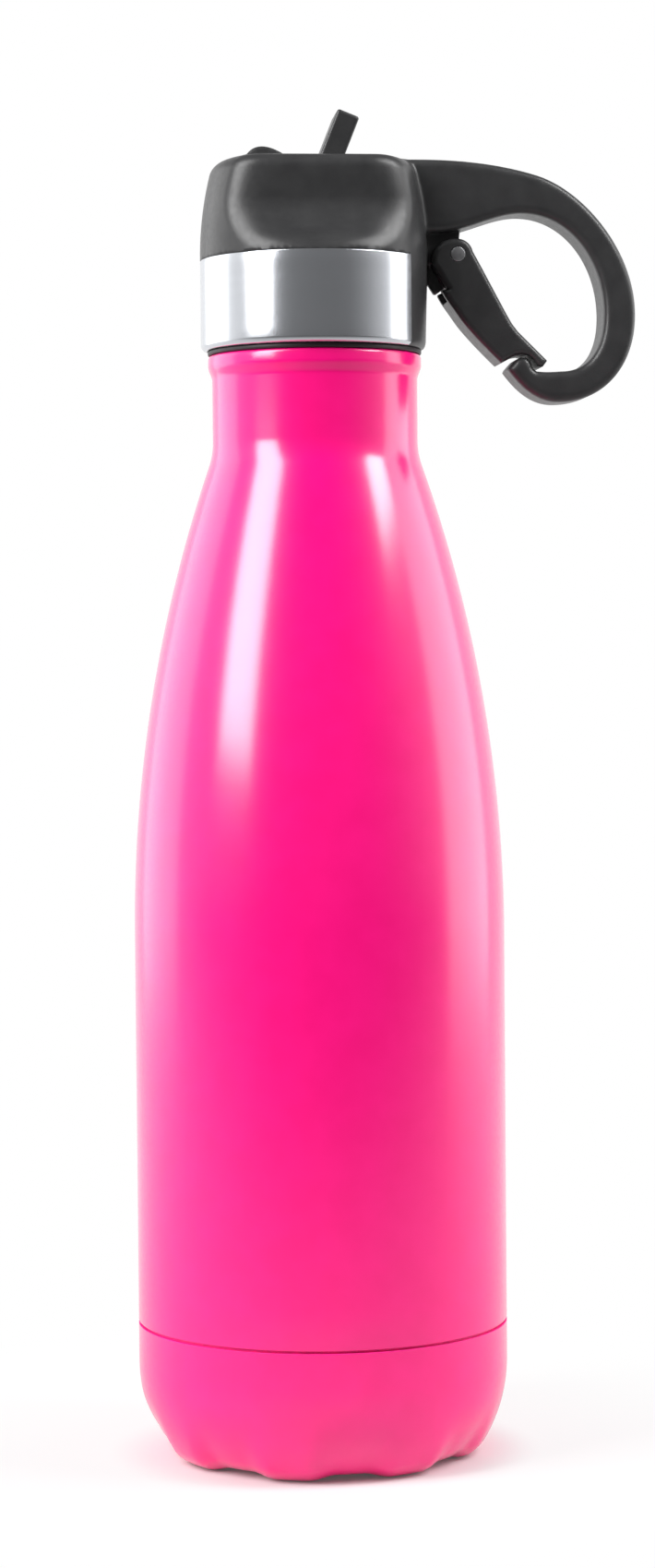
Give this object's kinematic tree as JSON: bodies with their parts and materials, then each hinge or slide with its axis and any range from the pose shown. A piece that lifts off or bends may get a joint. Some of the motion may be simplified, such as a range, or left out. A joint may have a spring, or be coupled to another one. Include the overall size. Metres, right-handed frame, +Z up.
{
  "type": "insulated sports bottle",
  "caption": "Vacuum-insulated steel bottle with a lobed foot, a screw lid, a flip spout over a straw, and a carabiner handle with a sprung gate.",
  "frame": {"origin": "centre of the flat foot ring, on the floor", "axes": "+Z up the bottle's axis, +X towards the carabiner handle, -Y towards the viewer of the front"},
  "size_m": [0.0968, 0.071, 0.2566],
  "materials": {
    "pink_coat": "satin powder coat",
    "steel": "brushed",
    "flask_steel": "satin, electropolished",
    "getter_metal": "matte",
    "seal_glass": "matte fused seal",
    "copper": "bright foil",
    "black_plastic": "satin moulded",
    "dark_silicone": "matte",
    "clear_silicone": "translucent",
    "straw_plastic": "glossy",
    "pin_steel": "satin",
    "spring_steel": "bright wire"
  },
  "bodies": {
    "bottle": {"outer_shell": "pink_coat", "base_cup": "pink_coat", "base_plate": "steel", "vacuum_bead": "seal_glass", "getter": "getter_metal", "inner_flask": "flask_steel", "copper_wrap": "copper"},
    "gasket": {"lid_gasket": "dark_silicone"},
    "lid": {"cap_shell": "black_plastic", "steel_band": "steel", "stopper": "black_plastic", "vent_valve": "clear_silicone", "straw": "straw_plastic", "spout_seat": "dark_silicone", "gate_spring": "spring_steel"},
    "spout": {"spout": "black_plastic", "spout_pins": "pin_steel"},
    "gate": {"gate": "black_plastic", "gate_pin": "pin_steel"}
  },
  "joints": [
    {"name": "lid_lift", "type": "slide", "parent": "bottle", "child": "gasket", "axis": [0, 0, 1], "range_m": [0, 0.006]},
    {"name": "lid_turn", "type": "hinge", "parent": "gasket", "child": "lid", "pos_m": [0, 0, 0.2113], "axis": [0, 0, 1], "range_deg": [0, 540]},
    {"name": "spout_flip", "type": "hinge", "parent": "lid", "child": "spout", "pos_m": [0.00195, 0, 0.2446], "axis": [0, -1, 0], "range_deg": [0, 112]},
    {"name": "gate_swing", "type": "hinge", "parent": "lid", "child": "gate", "pos_m": [0.0271, 0, 0.2292], "axis": [0, -1, 0], "range_deg": [0, 32], "stiffness_Nm_per_rad": 0.04, "springref_deg": -57.3, "deforming": ["gate_spring"]}
  ],
  "couplings": [
    {"joint": "lid_turn", "follows": "lid_lift", "rad_per_m": 1570.8}
  ]
}
